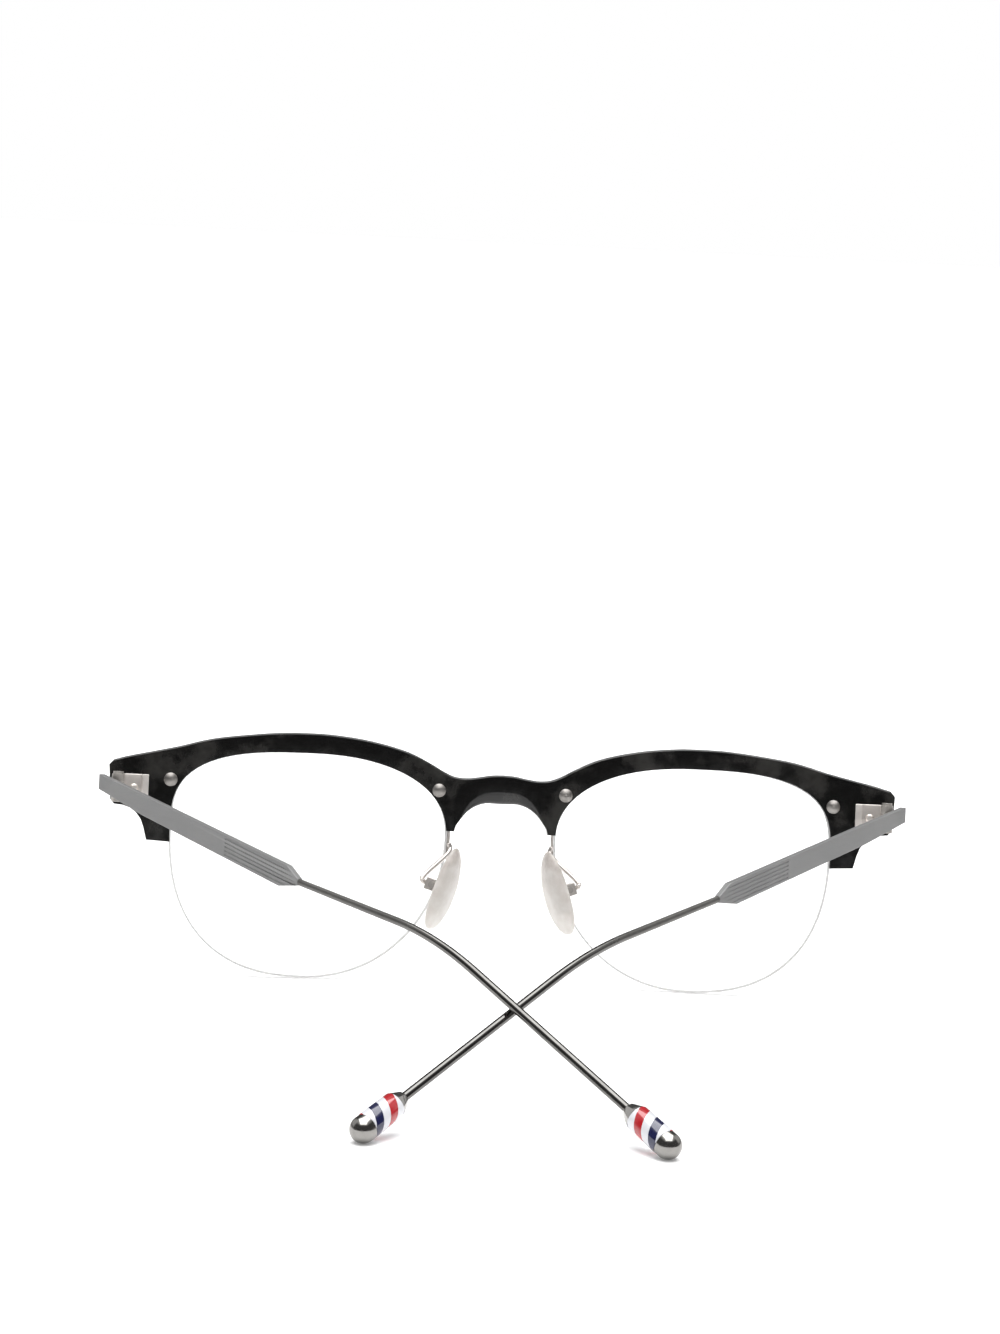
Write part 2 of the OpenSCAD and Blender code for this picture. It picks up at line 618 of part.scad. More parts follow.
// Flat temple blade with a pointed, grooved end
long_share = 0.3;
short_share = -0.2;
function blade_axis(s) = -blade_slope * s;
function blade_half(s) = (blade_root_h + (blade_end_h - blade_root_h)
    * (s - blade_root_s) / (blade_len - blade_root_s)) / 2;
module temple_blade(side) {
    long = blade_len + point_len * long_share;
    short = blade_len + point_len * short_share;
    outer = temple_offset + blade_t / 2;
    inner = temple_offset - blade_t / 2;
    color(satin_grey) at_temple(side) difference() {
        intersection() {
            side_plate(inner, blade_t) polygon([
                [butt_reach, blade_axis(-butt_reach) + blade_half(-butt_reach)],
                [butt_reach, blade_axis(-butt_reach) - blade_half(-butt_reach) + butt_rise],
                [-blade_root_s, blade_axis(blade_root_s) - blade_half(blade_root_s)],
                [-short, blade_axis(short) - blade_half(short)],
                [-point_end, -temple_drop(point_end, side) - point_h / 2],
                [-point_end, -temple_drop(point_end, side) + point_h / 2],
                [-long, blade_axis(long) + blade_half(long)]]);
            linear_extrude(4 * point_end, center = true) polygon([
                [inner, butt_reach], [outer, butt_reach], [outer, -blade_len],
                [temple_offset + point_h / 2, -point_end],
                [temple_offset - point_h / 2, -point_end], [inner, -blade_len]]);
        }
        for (i = [0:groove_count - 1]) let (from = blade_len - groove_len)
            translate([outer, -from, blade_axis(from) + (i - (groove_count - 1) / 2) * groove_pitch])
                rotate([90 + atan(blade_slope), 0, 0]) linear_extrude(groove_len + point_len)
                    polygon([[groove_depth, -groove_w], [-groove_depth, 0], [groove_depth, groove_w]]);
    }
}

// Springy wire from the blade over the ear to the tip
wire_stops = concat([point_end + seat_gap, point_end + point_len, point_end + 3 * point_len],
    [for (i = [0:10]) bend_s - bend_half + i * bend_half / 5], [(bend_s + temple_len) / 2]);
module temple_wire(side) {
    rear = side_rear(side);
    lead_end = temple_len - dome_skirt / 2 * cos(atan(rear));
    stops = concat(wire_stops, [lead_end]);
    swell = [for (s = stops) min(max((s - point_end) / (bend_s + bend_half - point_end), 0), 1)];
    color(gunmetal) at_temple(side) tube(
        [for (s = stops) [temple_offset, -s, -temple_drop(s, side)]],
        [for (w = swell) (wire_d_root + (wire_d - wire_d_root) * w) / 2], [1, 0, 0], wire_sides);
}

// Faceted collar, enamelled sleeve and metal dome on the end of the wire
bore_r = wire_d / 2 + 2 * seat_gap;
module tip_collar(side) {
    color(gunmetal) at_tip(side) translate([0, 0, -dome_skirt - sleeve_len - collar_len]) difference() {
        cylinder(r1 = collar_small_r, r2 = tip_r, h = collar_len - seat_gap, $fn = collar_facets);
        translate([0, 0, -overrun]) cylinder(r = bore_r, h = collar_len + 2 * overrun);
    }
}
module tip_sleeve(side) {
    color(enamel) at_tip(side) translate([0, 0, -dome_skirt - sleeve_len]) difference() {
        cylinder(r = tip_r, h = sleeve_len - seat_gap);
        translate([0, 0, -overrun]) cylinder(r = bore_r, h = sleeve_len + 2 * overrun);
    }
}
module tip_dome(side) {
    color(gunmetal) at_tip(side) difference() {
        union() {
            translate([0, 0, -dome_skirt]) cylinder(r = tip_r, h = dome_skirt);
            intersection() {
                sphere(r = tip_r);
                cylinder(r = 2 * tip_r, h = 2 * tip_r);
            }
        }
        translate([0, 0, -dome_skirt - overrun])
            cylinder(r = bore_r, h = dome_skirt / 2 + seat_gap + overrun);
    }
}

brow_front();
brow_rivets();
lens(-1);  // left_lens
lens(1);  // right_lens
lens_cord(-1);  // left_lens_cord
lens_cord(1);  // right_lens_cord
rim_bar(-1);  // left_rim_bar
rim_bar(1);  // right_rim_bar
pad_arm(-1);  // left_pad_arm
pad_arm(1);  // right_pad_arm
pad_box(-1);  // left_pad_box
pad_box(1);  // right_pad_box
pad_screw(-1);  // left_pad_screw
pad_screw(1);  // right_pad_screw
pad_stud(-1);  // left_pad_stud
pad_stud(1);  // right_pad_stud
nose_pad(-1);  // left_nose_pad
nose_pad(1);  // right_nose_pad
hinge_plate(-1);  // left_hinge_plate
hinge_plate(1);  // right_hinge_plate
hinge_screw(-1);  // left_hinge_screw
hinge_screw(1);  // right_hinge_screw
hinge_leaf(-1);  // left_hinge_leaf
hinge_leaf(1);  // right_hinge_leaf
temple_blade(-1);  // left_temple_blade
temple_blade(1);  // right_temple_blade
temple_wire(-1);  // left_temple_wire
temple_wire(1);  // right_temple_wire
tip_collar(-1);  // left_tip_collar
tip_collar(1);  // right_tip_collar
tip_sleeve(-1);  // left_tip_sleeve
tip_sleeve(1);  // right_tip_sleeve
tip_dome(-1);  // left_tip_dome
tip_dome(1);  // right_tip_dome
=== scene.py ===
import bmesh
import bpy
import math
from math import radians
from mathutils import Matrix, Vector


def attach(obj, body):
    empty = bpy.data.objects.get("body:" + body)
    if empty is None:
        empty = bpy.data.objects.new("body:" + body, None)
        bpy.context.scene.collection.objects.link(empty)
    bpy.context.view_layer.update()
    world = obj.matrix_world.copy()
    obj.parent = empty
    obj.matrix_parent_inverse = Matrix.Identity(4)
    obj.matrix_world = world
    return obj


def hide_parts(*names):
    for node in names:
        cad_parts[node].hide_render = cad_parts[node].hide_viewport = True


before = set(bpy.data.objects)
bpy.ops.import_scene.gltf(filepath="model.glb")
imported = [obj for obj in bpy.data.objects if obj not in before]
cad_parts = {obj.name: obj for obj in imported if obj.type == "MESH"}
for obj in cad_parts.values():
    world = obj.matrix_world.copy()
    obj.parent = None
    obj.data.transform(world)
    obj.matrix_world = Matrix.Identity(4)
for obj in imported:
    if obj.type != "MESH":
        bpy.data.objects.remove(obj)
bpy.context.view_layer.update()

metre = 0.001  # every shape is drawn in millimetres
sides = {"left": -1, "right": 1}  # the wearer's own

# How the front stands and is bent, as in the part's source
stance = {"lean": 9, "shift": 53.5507, "drop": 0.1134, "bendRadius": 500}
lensShape = {
    "centre": 35.5, "level": 27, "halfWidth": 25.4, "up": 14.3, "down": 27,
    "powers": {"temporalUp": 2.9, "nasalUp": 2.25, "nasalDown": 2.05, "temporalDown": 2.4},
}

frontPlace = (Matrix.Scale(metre, 4) @ Matrix.Translation((0, stance["shift"], -stance["drop"]))
              @ Matrix.Rotation(radians(-stance["lean"]), 4, "X"))


def sidePlace(side):
    return frontPlace @ Matrix.Diagonal((sides[side], 1, 1, 1))


def bendPlace(across):
    turn = math.asin(across / stance["bendRadius"])
    middle = Matrix.Translation((0, -stance["bendRadius"], 0))
    return middle @ Matrix.Rotation(-turn, 4, "Z") @ middle.inverted()


# Materials

def addNode(tree, kind, values=None, **settings):
    node = tree.nodes.new(kind)
    for key, value in settings.items():
        setattr(node, key, value)
    for key, value in (values or {}).items():
        if isinstance(value, bpy.types.NodeSocket):
            tree.links.new(value, node.inputs[key])
        else:
            node.inputs[key].default_value = value
    return node


def addMath(tree, operation, first, second=0.0):
    node = addNode(tree, "ShaderNodeMath", {0: first, 1: second}, operation=operation)
    return node.outputs[0]


def startGroup(name, inputs, outputs):
    group = bpy.data.node_groups.new(name, "ShaderNodeTree")
    for label, kind in inputs:
        group.interface.new_socket(name=label, in_out="INPUT", socket_type="NodeSocket" + kind)
    for label, kind in outputs:
        group.interface.new_socket(name=label, in_out="OUTPUT", socket_type="NodeSocket" + kind)
    return group, group.nodes.new("NodeGroupInput"), group.nodes.new("NodeGroupOutput")


def makeCloudGroup():
    # Soft patches between two values, for roughness, tint and smudges
    look = {"detail": 4.0, "roughness": 0.55, "from": 0.3, "to": 0.7}
    group, given, result = startGroup(
        "softPatches",
        [("Place", "Vector"), ("Scale", "Float"), ("Low", "Float"), ("High", "Float")],
        [("Value", "Float")])
    noise = addNode(group, "ShaderNodeTexNoise", {
        "Vector": given.outputs["Place"], "Scale": given.outputs["Scale"],
        "Detail": look["detail"], "Roughness": look["roughness"]})
    spread = addNode(group, "ShaderNodeMapRange", {
        "Value": noise.outputs[0], "From Min": look["from"], "From Max": look["to"],
        "To Min": given.outputs["Low"], "To Max": given.outputs["High"]},
        interpolation_type="SMOOTHSTEP")
    group.links.new(spread.outputs[0], result.inputs["Value"])
    return group


def makeGrainGroup():
    # Fine lines along one direction, as a brushed or drawn metal has
    look = {"scale": 1.0, "detail": 3.0, "roughness": 0.6, "from": 0.25, "to": 0.75}
    group, given, result = startGroup(
        "fineLines",
        [("Place", "Vector"), ("Stretch", "Vector"), ("Low", "Float"), ("High", "Float")],
        [("Height", "Float"), ("Value", "Float")])
    stretched = addNode(group, "ShaderNodeVectorMath", {
        0: given.outputs["Place"], 1: given.outputs["Stretch"]}, operation="MULTIPLY")
    noise = addNode(group, "ShaderNodeTexNoise", {
        "Vector": stretched.outputs[0], "Scale": look["scale"], "Detail": look["detail"],
        "Roughness": look["roughness"]})
    spread = addNode(group, "ShaderNodeMapRange", {
        "Value": noise.outputs[0], "From Min": look["from"], "From Max": look["to"],
        "To Min": given.outputs["Low"], "To Max": given.outputs["High"]})
    group.links.new(noise.outputs[0], result.inputs["Height"])
    group.links.new(spread.outputs[0], result.inputs["Value"])
    return group


softPatches = makeCloudGroup()
fineLines = makeGrainGroup()


def startMaterial(name, **sockets):
    material = bpy.data.materials.new(name)
    material.use_nodes = True
    tree = material.node_tree
    shader = tree.nodes["Principled BSDF"]
    for label, value in sockets.items():
        shader.inputs[label.replace("_", " ")].default_value = value
    return material, tree, shader


def ownPlaceOf(tree):
    return addNode(tree, "ShaderNodeAttribute", attribute_name="ownPlace").outputs["Vector"]


def useGroup(tree, group, values):
    return addNode(tree, "ShaderNodeGroup", values, node_tree=group)


def mixColours(tree, factor, first, second):
    mix = addNode(tree, "ShaderNodeMix", {0: factor, 6: first, 7: second}, data_type="RGBA")
    return mix.outputs[2]


def patchesOf(tree, scale, low=0.0, high=1.0):
    # Patches in the piece's own frame
    return useGroup(tree, softPatches, {
        "Place": ownPlaceOf(tree), "Scale": scale, "Low": low, "High": high}).outputs[0]


def bumpFrom(tree, shader, height, distance):
    bump = addNode(tree, "ShaderNodeBump", {
        "Height": height, "Distance": distance, "Strength": 1.0})
    tree.links.new(bump.outputs[0], shader.inputs["Normal"])


def makeAcetate():
    # Polished near-black acetate with sparse smoky clouds
    look = {"dark": (0.0022, 0.0022, 0.0021, 1), "cloud": (0.024, 0.0232, 0.0217, 1),
            "cloudScale": 0.13, "cloudFrom": -1.1, "shift": (31, 0, 12), "rough": (0.15, 0.22),
            "polishScale": 0.6, "rippleScale": 0.35, "ripple": 0.000004, "ior": 1.46}
    material, tree, shader = startMaterial("smokyAcetate", IOR=look["ior"])
    shifted = addNode(tree, "ShaderNodeVectorMath", {
        0: ownPlaceOf(tree), 1: look["shift"]}, operation="ADD").outputs[0]
    cloud = useGroup(tree, softPatches, {
        "Place": shifted, "Scale": look["cloudScale"], "Low": look["cloudFrom"], "High": 1.0})
    thin = addNode(tree, "ShaderNodeClamp", {0: cloud.outputs[0]}).outputs[0]
    tree.links.new(mixColours(tree, thin, look["dark"], look["cloud"]), shader.inputs["Base Color"])
    tree.links.new(patchesOf(tree, look["polishScale"], *look["rough"]), shader.inputs["Roughness"])
    bumpFrom(tree, shader, patchesOf(tree, look["rippleScale"]), look["ripple"])
    return material


# Each metal's darker and lighter colour and its roughness; lines are for a brushed one
metals = {
    "warmSilver": {"dark": (0.37, 0.35, 0.328, 1), "light": (0.44, 0.415, 0.39, 1),
                   "rough": (0.42, 0.52)},
    "paleSilver": {"dark": (0.55, 0.515, 0.485, 1), "light": (0.63, 0.59, 0.56, 1),
                   "rough": (0.38, 0.46)},
    "rivetSilver": {"dark": (0.25, 0.238, 0.226, 1), "light": (0.31, 0.295, 0.28, 1),
                    "rough": (0.42, 0.52)},
    "plateSilver": {"dark": (0.67, 0.63, 0.60, 1), "light": (0.75, 0.705, 0.67, 1),
                    "rough": (0.42, 0.52)},
    # a near-white copy of the silver, a painted highlight on the hinge plate's raised bar and rivet
    "paintedHighlightSilver": {"dark": (0.91, 0.86, 0.82, 1), "light": (0.96, 0.91, 0.87, 1),
                     "rough": (0.38, 0.46)},
    "satinSteel": {"dark": (0.25, 0.25, 0.25, 1), "light": (0.27, 0.27, 0.268, 1),
                   "rough": (0.56, 0.62), "tintScale": 0.1, "lines": (9.0, 0.35, 9.0),
                   "lineDepth": 0.0000006},
    "polishedTip": {"dark": (0.23, 0.222, 0.212, 1), "light": (0.27, 0.262, 0.25, 1),
                    "rough": (0.13, 0.20)},
    "facetedCollar": {"dark": (0.34, 0.33, 0.32, 1), "light": (0.40, 0.39, 0.375, 1),
                      "rough": (0.10, 0.16)},
}
metalScale = {"tint": 0.5, "polish": 1.4}


def makeMetal(name):
    look = metals[name]
    material, tree, shader = startMaterial(name, Metallic=1.0)
    tint = patchesOf(tree, look.get("tintScale", metalScale["tint"]))
    tree.links.new(mixColours(tree, tint, look["dark"], look["light"]), shader.inputs["Base Color"])
    low, high = look["rough"]
    if "lines" in look:
        grain = useGroup(tree, fineLines, {
            "Place": ownPlaceOf(tree), "Stretch": look["lines"], "Low": low, "High": high})
        tree.links.new(grain.outputs["Value"], shader.inputs["Roughness"])
        bumpFrom(tree, shader, grain.outputs["Height"], look["lineDepth"])
    else:
        tree.links.new(patchesOf(tree, metalScale["polish"], low, high), shader.inputs["Roughness"])
    return material


def makeWireMetal():
    # Satin where the wire leaves the blade, polished from the ear bend on
    look = {"base": (0.115, 0.112, 0.107, 1), "light": (0.14, 0.137, 0.131, 1),
            "satin": 0.42, "polish": 0.09, "satinTo": 66.0, "polishFrom": 92.0, "wear": 0.05,
            "tintScale": 0.3, "wearScale": 1.4}
    material, tree, shader = startMaterial("darkGunmetal", Metallic=1.0)
    tint = patchesOf(tree, look["tintScale"])
    tree.links.new(mixColours(tree, tint, look["base"], look["light"]), shader.inputs["Base Color"])
    along = addNode(tree, "ShaderNodeSeparateXYZ", {0: ownPlaceOf(tree)}).outputs[1]
    finish = addNode(tree, "ShaderNodeMapRange", {
        "Value": along, "From Min": -look["polishFrom"], "From Max": -look["satinTo"],
        "To Min": look["polish"], "To Max": look["satin"]},
        interpolation_type="SMOOTHSTEP").outputs[0]
    wear = patchesOf(tree, look["wearScale"], 0.0, look["wear"])
    tree.links.new(addMath(tree, "ADD", finish, wear), shader.inputs["Roughness"])
    return material


def letLampsThrough(material, tree, shader):
    # Light that only lights what lies behind passes straight through
    path = tree.nodes.new("ShaderNodeLightPath")
    passing = addMath(tree, "MAXIMUM", path.outputs["Is Shadow Ray"],
                      path.outputs["Is Diffuse Ray"])
    clear = tree.nodes.new("ShaderNodeBsdfTransparent")
    mix = addNode(tree, "ShaderNodeMixShader", {
        0: passing, 1: shader.outputs[0], 2: clear.outputs[0]})
    tree.links.new(mix.outputs[0], tree.nodes["Material Output"].inputs["Surface"])
    return material


# Clear and half clear materials; passing is the share of light that goes through
clears = {
    "clearLens": {"colour": (0.985, 0.99, 0.99, 1), "ior": 1.5, "passing": 1.0,
                  "scale": 0.12, "rough": (0.0, 0.012)},
    "groundLensEdge": {"colour": (0.60, 0.595, 0.59, 1), "ior": 1.5, "passing": 0.25,
                       "scale": 0.8, "rough": (0.35, 0.55)},
    "nylonLine": {"colour": (0.93, 0.93, 0.92, 1), "ior": 1.5, "passing": 0.9,
                  "scale": 2.0, "rough": (0.1, 0.25)},
}


def makeClear(name):
    look = clears[name]
    material, tree, shader = startMaterial(
        name, Base_Color=look["colour"], IOR=look["ior"], Transmission_Weight=look["passing"])
    tree.links.new(patchesOf(tree, look["scale"], *look["rough"]), shader.inputs["Roughness"])
    return material, tree, shader


def makeSilicone():
    # Milky, with the metal plate's shade showing through its upper half
    look = {"milk": (0.60, 0.565, 0.53, 1), "pale": (0.67, 0.645, 0.615, 1), "tintScale": 0.5,
            "shade": (0.26, 0.215, 0.19, 1), "shadeFrom": 0.0, "shadeTo": 6.5, "shadeMost": 0.8,
            "cloudScale": 0.35, "cloudLeast": 0.1, "satinScale": 1.2, "rough": (0.32, 0.45),
            "ior": 1.41, "passing": 0.3}
    material, tree, shader = startMaterial(
        "softSilicone", IOR=look["ior"], Transmission_Weight=look["passing"])
    base = mixColours(tree, patchesOf(tree, look["tintScale"]), look["milk"], look["pale"])
    up = addNode(tree, "ShaderNodeSeparateXYZ", {0: ownPlaceOf(tree)}).outputs[2]
    high = addNode(tree, "ShaderNodeMapRange", {
        "Value": up, "From Min": look["shadeFrom"], "From Max": look["shadeTo"],
        "To Min": 0.0, "To Max": look["shadeMost"]}, interpolation_type="SMOOTHSTEP").outputs[0]
    cloudy = patchesOf(tree, look["cloudScale"], look["cloudLeast"])
    shade = addMath(tree, "MULTIPLY", high, cloudy)
    tree.links.new(mixColours(tree, shade, base, look["shade"]), shader.inputs["Base Color"])
    tree.links.new(patchesOf(tree, look["satinScale"], *look["rough"]), shader.inputs["Roughness"])
    return letLampsThrough(material, tree, shader)


def makeEnamel():
    # Slanting bands round the sleeve: white, red, white, navy
    look = {"pitch": 6.8, "redFrom": 0.12, "redTo": 0.38, "navyFrom": 0.62, "navyTo": 0.88,
            "white": (0.62, 0.625, 0.655, 1), "red": (0.36, 0.008, 0.014, 1),
            "navy": (0.008, 0.010, 0.050, 1), "glossScale": 0.9, "rough": (0.06, 0.14),
            "ior": 1.52, "coat": 0.6, "coatRough": 0.04, "shift": 8.0}
    material, tree, shader = startMaterial(
        "bandedEnamel", IOR=look["ior"], Coat_Weight=look["coat"],
        Coat_Roughness=look["coatRough"])
    parts = addNode(tree, "ShaderNodeSeparateXYZ", {0: ownPlaceOf(tree)})
    turn = addMath(tree, "DIVIDE",
                   addMath(tree, "ARCTAN2", parts.outputs[1], parts.outputs[0]), 2 * math.pi)
    rise = addMath(tree, "DIVIDE", parts.outputs[2], look["pitch"])
    # The shift keeps the sum above zero
    phase = addMath(tree, "FRACT",
                    addMath(tree, "ADD", turn, addMath(tree, "ADD", rise, look["shift"])))

    def band(low, high):
        above = addMath(tree, "GREATER_THAN", phase, look[low])
        below = addMath(tree, "LESS_THAN", phase, look[high])
        return addMath(tree, "MULTIPLY", above, below)

    base = mixColours(tree, band("redFrom", "redTo"), look["white"], look["red"])
    base = mixColours(tree, band("navyFrom", "navyTo"), base, look["navy"])
    tree.links.new(base, shader.inputs["Base Color"])
    tree.links.new(patchesOf(tree, look["glossScale"], *look["rough"]), shader.inputs["Roughness"])
    return material


acetate = makeAcetate()
lensGlass = letLampsThrough(*makeClear("clearLens"))
# The ground edge is shut to the lamps, so it leaves its fine shade on the floor
lensEdgeGlass = makeClear("groundLensEdge")[0]
nylon = letLampsThrough(*makeClear("nylonLine"))
silicone = makeSilicone()
enamel = makeEnamel()
silver = makeMetal("warmSilver")
paleSilver = makeMetal("paleSilver")
rivetSilver = makeMetal("rivetSilver")
plateSilver = makeMetal("plateSilver")
paintedHighlightSilver = makeMetal("paintedHighlightSilver")
satinSteel = makeMetal("satinSteel")
tipMetal = makeMetal("polishedTip")
collarMetal = makeMetal("facetedCollar")
darkSteel = makeWireMetal()
print("materials made")

# Pieces: points nearer than the merge distances are one, in millimetres for drawn shapes and
# in metres for copies; the angles are in degrees
meshing = {"drawnMerge": 0.0001, "copyMerge": 0.000001, "flat": 0.5, "outer": 50,
           "bevelSteps": 2, "sharp": 32, "crispSharp": 20}


def putPiece(name, bm, place, body, material, nodes, own=None, sharp=meshing["sharp"]):
    # Keeps each point's place in the piece's own frame, then sets the piece where it belongs
    bm.verts.ensure_lookup_table()
    layer = bm.verts.layers.float_vector.new("ownPlace")
    back = own.inverted() if own else Matrix.Identity(4)
    for vert in bm.verts:
        vert[layer] = back @ vert.co
    bmesh.ops.transform(bm, matrix=place, verts=bm.verts)
    bmesh.ops.recalc_face_normals(bm, faces=bm.faces)
    mesh = bpy.data.meshes.new(name)
    bm.to_mesh(mesh)
    bm.free()
    mesh.shade_smooth()
    mesh.set_sharp_from_angle(angle=radians(sharp))
    mesh.materials.append(material)
    piece = bpy.data.objects.new(name, mesh)
    bpy.context.scene.collection.objects.link(piece)
    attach(piece, body)
    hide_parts(*nodes)
    return piece


def roundEdges(bm, edges, width):
    bmesh.ops.bevel(bm, geom=edges, offset=width, segments=meshing["bevelSteps"], profile=0.5,
                    affect="EDGES", material=-1)


def lathe(profile, steps, closed=False):
    # Turns a profile of radii and heights round the upright axis
    bm = bmesh.new()
    verts = [bm.verts.new((radius, 0, height)) for radius, height in profile]
    ends = verts[1:] + (verts[:1] if closed else [])
    edges = [bm.edges.new(pair) for pair in zip(verts, ends)]
    bmesh.ops.spin(bm, geom=verts + edges, axis=(0, 0, 1), cent=(0, 0, 0),
                   angle=2 * math.pi, steps=steps, use_merge=True)
    bmesh.ops.remove_doubles(bm, verts=bm.verts, dist=meshing["drawnMerge"])
    return bm


def pushRing(bm, edges):
    # Extrudes a closed row of edges and gives the new points and edges
    made = bmesh.ops.extrude_edge_only(bm, edges=edges)["geom"]
    ring = [item for item in made if isinstance(item, bmesh.types.BMVert)]
    found = set(ring)
    return ring, [item for item in made if isinstance(item, bmesh.types.BMEdge)
                  and found.issuperset(item.verts)]


def ringBody(count, rings, placeOf):
    # A closed body pushed out ring by ring; placeOf puts a numbered point in its place on a ring
    bm = bmesh.new()
    order = bm.verts.layers.int.new("order")
    for index in range(count):
        vert = bm.verts.new(placeOf(index, *rings[0]))
        vert[order] = index
    bm.faces.new(bm.verts[:])
    edges = list(bm.edges)
    for values in rings[1:]:
        ring, edges = pushRing(bm, edges)
        for vert in ring:
            vert.co = placeOf(vert[order], *values)
    bmesh.ops.holes_fill(bm, edges=edges, sides=0)
    return bm


def sweep(points, radii, count, across):
    # A round bar along a path; across stays at right angles to the path
    bm = bmesh.new()

    def station(index):
        ahead = points[min(index + 1, len(points) - 1)] - points[max(index - 1, 0)]
        ahead.normalize()
        up = ahead.cross(across).normalized()
        over = up.cross(ahead)
        turn = Matrix((over, up, ahead)).transposed().to_4x4()
        return Matrix.Translation(points[index]) @ turn @ Matrix.Scale(radii[index], 4)

    ring = bmesh.ops.create_circle(bm, segments=count, radius=1)["verts"]
    edges = list(bm.edges)
    bmesh.ops.transform(bm, matrix=station(0), verts=ring)
    for index in range(1, len(points)):
        ring, edges = pushRing(bm, edges)
        bmesh.ops.transform(bm, matrix=station(index) @ station(index - 1).inverted(), verts=ring)
    bmesh.ops.holes_fill(bm, edges=bm.edges, sides=0)
    return bm


def softCopy(node, width):
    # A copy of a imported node, with its outer edges rounded where a width is given
    bm = bmesh.new()
    bm.from_mesh(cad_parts[node].data)
    bmesh.ops.remove_doubles(bm, verts=bm.verts, dist=meshing["copyMerge"])
    if width:
        bmesh.ops.dissolve_limit(bm, angle_limit=radians(meshing["flat"]), verts=bm.verts,
                                 edges=bm.edges)
        outer = [edge for edge in bm.edges if len(edge.link_faces) == 2 and edge.is_convex
                 and edge.calc_face_angle(0) > radians(meshing["outer"])]
        roundEdges(bm, outer, width * metre)
    return bm


# The brow: outline shares as in the part's source, edges rounded as polished acetate is
brow = {
    "halfWidth": 72.2, "crest": 45.0, "thickness": 4.0, "topRound": 0.45, "lowRound": 0.1,
    "archReach": 2.4, "archDepth": 1.8, "archWidth": 7.5, "roundSteps": 8, "endFade": 3,
    "curveSteps": 4, "underSteps": 2, "arcSteps": 48, "bendEvery": 3.0, "bendShift": 0.01,
    "mitreLeast": 0.6,
    "top": [(0, 0.860), (0.031, 0.857), (0.062, 0.848), (0.093, 0.842), (0.124, 0.847),
            (0.154, 0.867), (0.184, 0.894), (0.247, 0.941), (0.34, 0.978), (0.43, 0.996),
            (0.5, 1), (0.585, 0.995), (0.705, 0.972), (0.766, 0.953), (0.825, 0.926),
            (0.886, 0.903), (0.946, 0.881), (0.988, 0.862)],
    "end": [(1, 0.84), (0.999, 0.82), (0.994, 0.7), (0.984, 0.681), (0.962, 0.678),
            (0.944, 0.668), (0.928, 0.649), (0.916, 0.624), (0.908, 0.59), (0.9, 0.54)],
    "lugLevel": 24.08, "nasalLevel": 28.0,
    "under": [(0.1195, 0.622), (0.116, 0.645), (0.107, 0.667), (0.0965, 0.69),
              (0.084, 0.71), (0.066, 0.729), (0.042, 0.741), (0.02, 0.741), (0, 0.74)],
}


def curveThrough(points, steps):
    # A smooth curve that goes through every point
    result = []
    for index in range(len(points) - 1):
        a = points[max(index - 1, 0)]
        b, c = points[index], points[index + 1]
        d = points[min(index + 2, len(points) - 1)]
        for step in range(steps):
            t = step / steps
            result.append(tuple(
                (2 * q + (r - p) * t + (2 * p - 5 * q + 4 * r - s) * t * t
                 + (3 * q - p - 3 * r + s) * t ** 3) / 2 for p, q, r, s in zip(a, b, c, d)))
    return result + [points[-1]]


def lensEdge(height, outward):
    # Half width of the lens opening at a height, on its temporal (1) or nasal (-1) side
    rise = height - lensShape["level"]
    name = ("temporal" if outward > 0 else "nasal") + ("Up" if rise > 0 else "Down")
    power = lensShape["powers"][name]
    reach = lensShape["up"] if rise > 0 else lensShape["down"]
    return lensShape["halfWidth"] * (1 - min(abs(rise) / reach, 1) ** power) ** (1 / power)


def lensArc():
    # From the temporal lug over the top to the nasal end, seen from the front
    top = lensShape["level"] + lensShape["up"]
    turnIn = math.asin(lensShape["centre"] / stance["bendRadius"])
    arc = []
    for index in range(brow["arcSteps"] + 1):
        outward = 1 if index <= brow["arcSteps"] / 2 else -1
        low = brow["lugLevel"] if outward > 0 else brow["nasalLevel"]
        share = 1 - abs(2 * index / brow["arcSteps"] - 1)
        height = low + (top - low) * math.sin(share * math.pi / 2)
        turn = turnIn + math.asin(outward * lensEdge(height, outward) / stance["bendRadius"])
        arc.append((stance["bendRadius"] * math.sin(turn), height))
    return arc


def edgeRounds(top, end, arc, under):
    # Reach and depth of the rounded back edge at each point: full on top, small where the lens
    # goes in, and wide and soft under the bridge
    low, high = brow["lowRound"], brow["topRound"]
    rounds = [(high, high)] * len(top)
    rounds += [(high + (low - high) * min(index / brow["endFade"], 1),) * 2
               for index in range(len(end))]
    rounds += [(low, low)] * len(arc)
    for across, _ in under:
        share = max(1 - (across / brow["archWidth"]) ** 2, 0)
        rounds.append((low + (brow["archReach"] - low) * share,
                       low + (brow["archDepth"] - low) * share))
    return rounds


def inwardOf(outline):
    # At each corner of the outline, the step that moves both of its sides in by one millimetre
    steps = []
    for index, point in enumerate(outline):
        before = (point - outline[index - 1]).normalized()
        after = (outline[(index + 1) % len(outline)] - point).normalized()
        lean = before + after
        across = Vector((lean.y, -lean.x)).normalized()
        mitre = across.dot(Vector((before.y, -before.x)))
        steps.append(across / max(mitre, brow["mitreLeast"]))
    return steps


